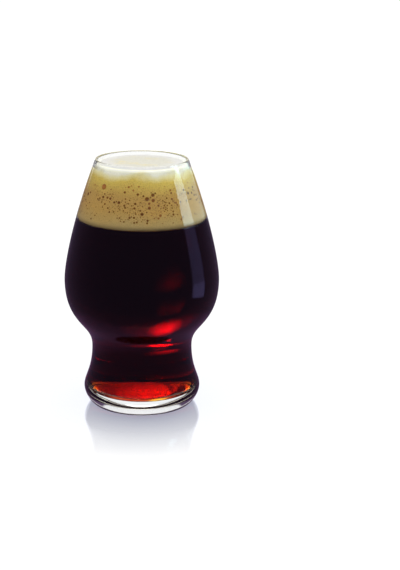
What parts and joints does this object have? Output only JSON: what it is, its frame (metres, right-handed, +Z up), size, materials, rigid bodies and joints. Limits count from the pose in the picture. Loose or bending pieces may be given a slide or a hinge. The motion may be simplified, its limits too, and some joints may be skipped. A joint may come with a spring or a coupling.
{
  "type": "tulip beer glass",
  "caption": "Tulip beer glass with a tapering bowl, drawn-in waist and flared foot on a thick clear base, poured with dark beer under a head of foam.",
  "frame": {"origin": "middle of the ring that the glass stands on, at table height", "axes": "+Z up along the axis of the glass, which is round; -Y faces the viewer"},
  "size_m": [0.093, 0.093, 0.15],
  "materials": {
    "clear_glass": "clear, fire-polished soda-lime glass",
    "dark_beer": "near-black ruby liquid, clear red where it is thin",
    "foam": "fine tan froth, paler towards the top",
    "bubble_gas": "wet brown bubbles pressed against the glass"
  },
  "bodies": {
    "glass": {"glass": "clear_glass"},
    "contents": {"beer": "dark_beer", "foam_head": "foam", "foam_bubbles": "bubble_gas"}
  },
  "joints": [
    {"name": "contents_swirl", "type": "hinge", "parent": "glass", "child": "contents", "pos_m": [0, 0, 0], "axis": [0, 0, 1], "continuous": true}
  ]
}
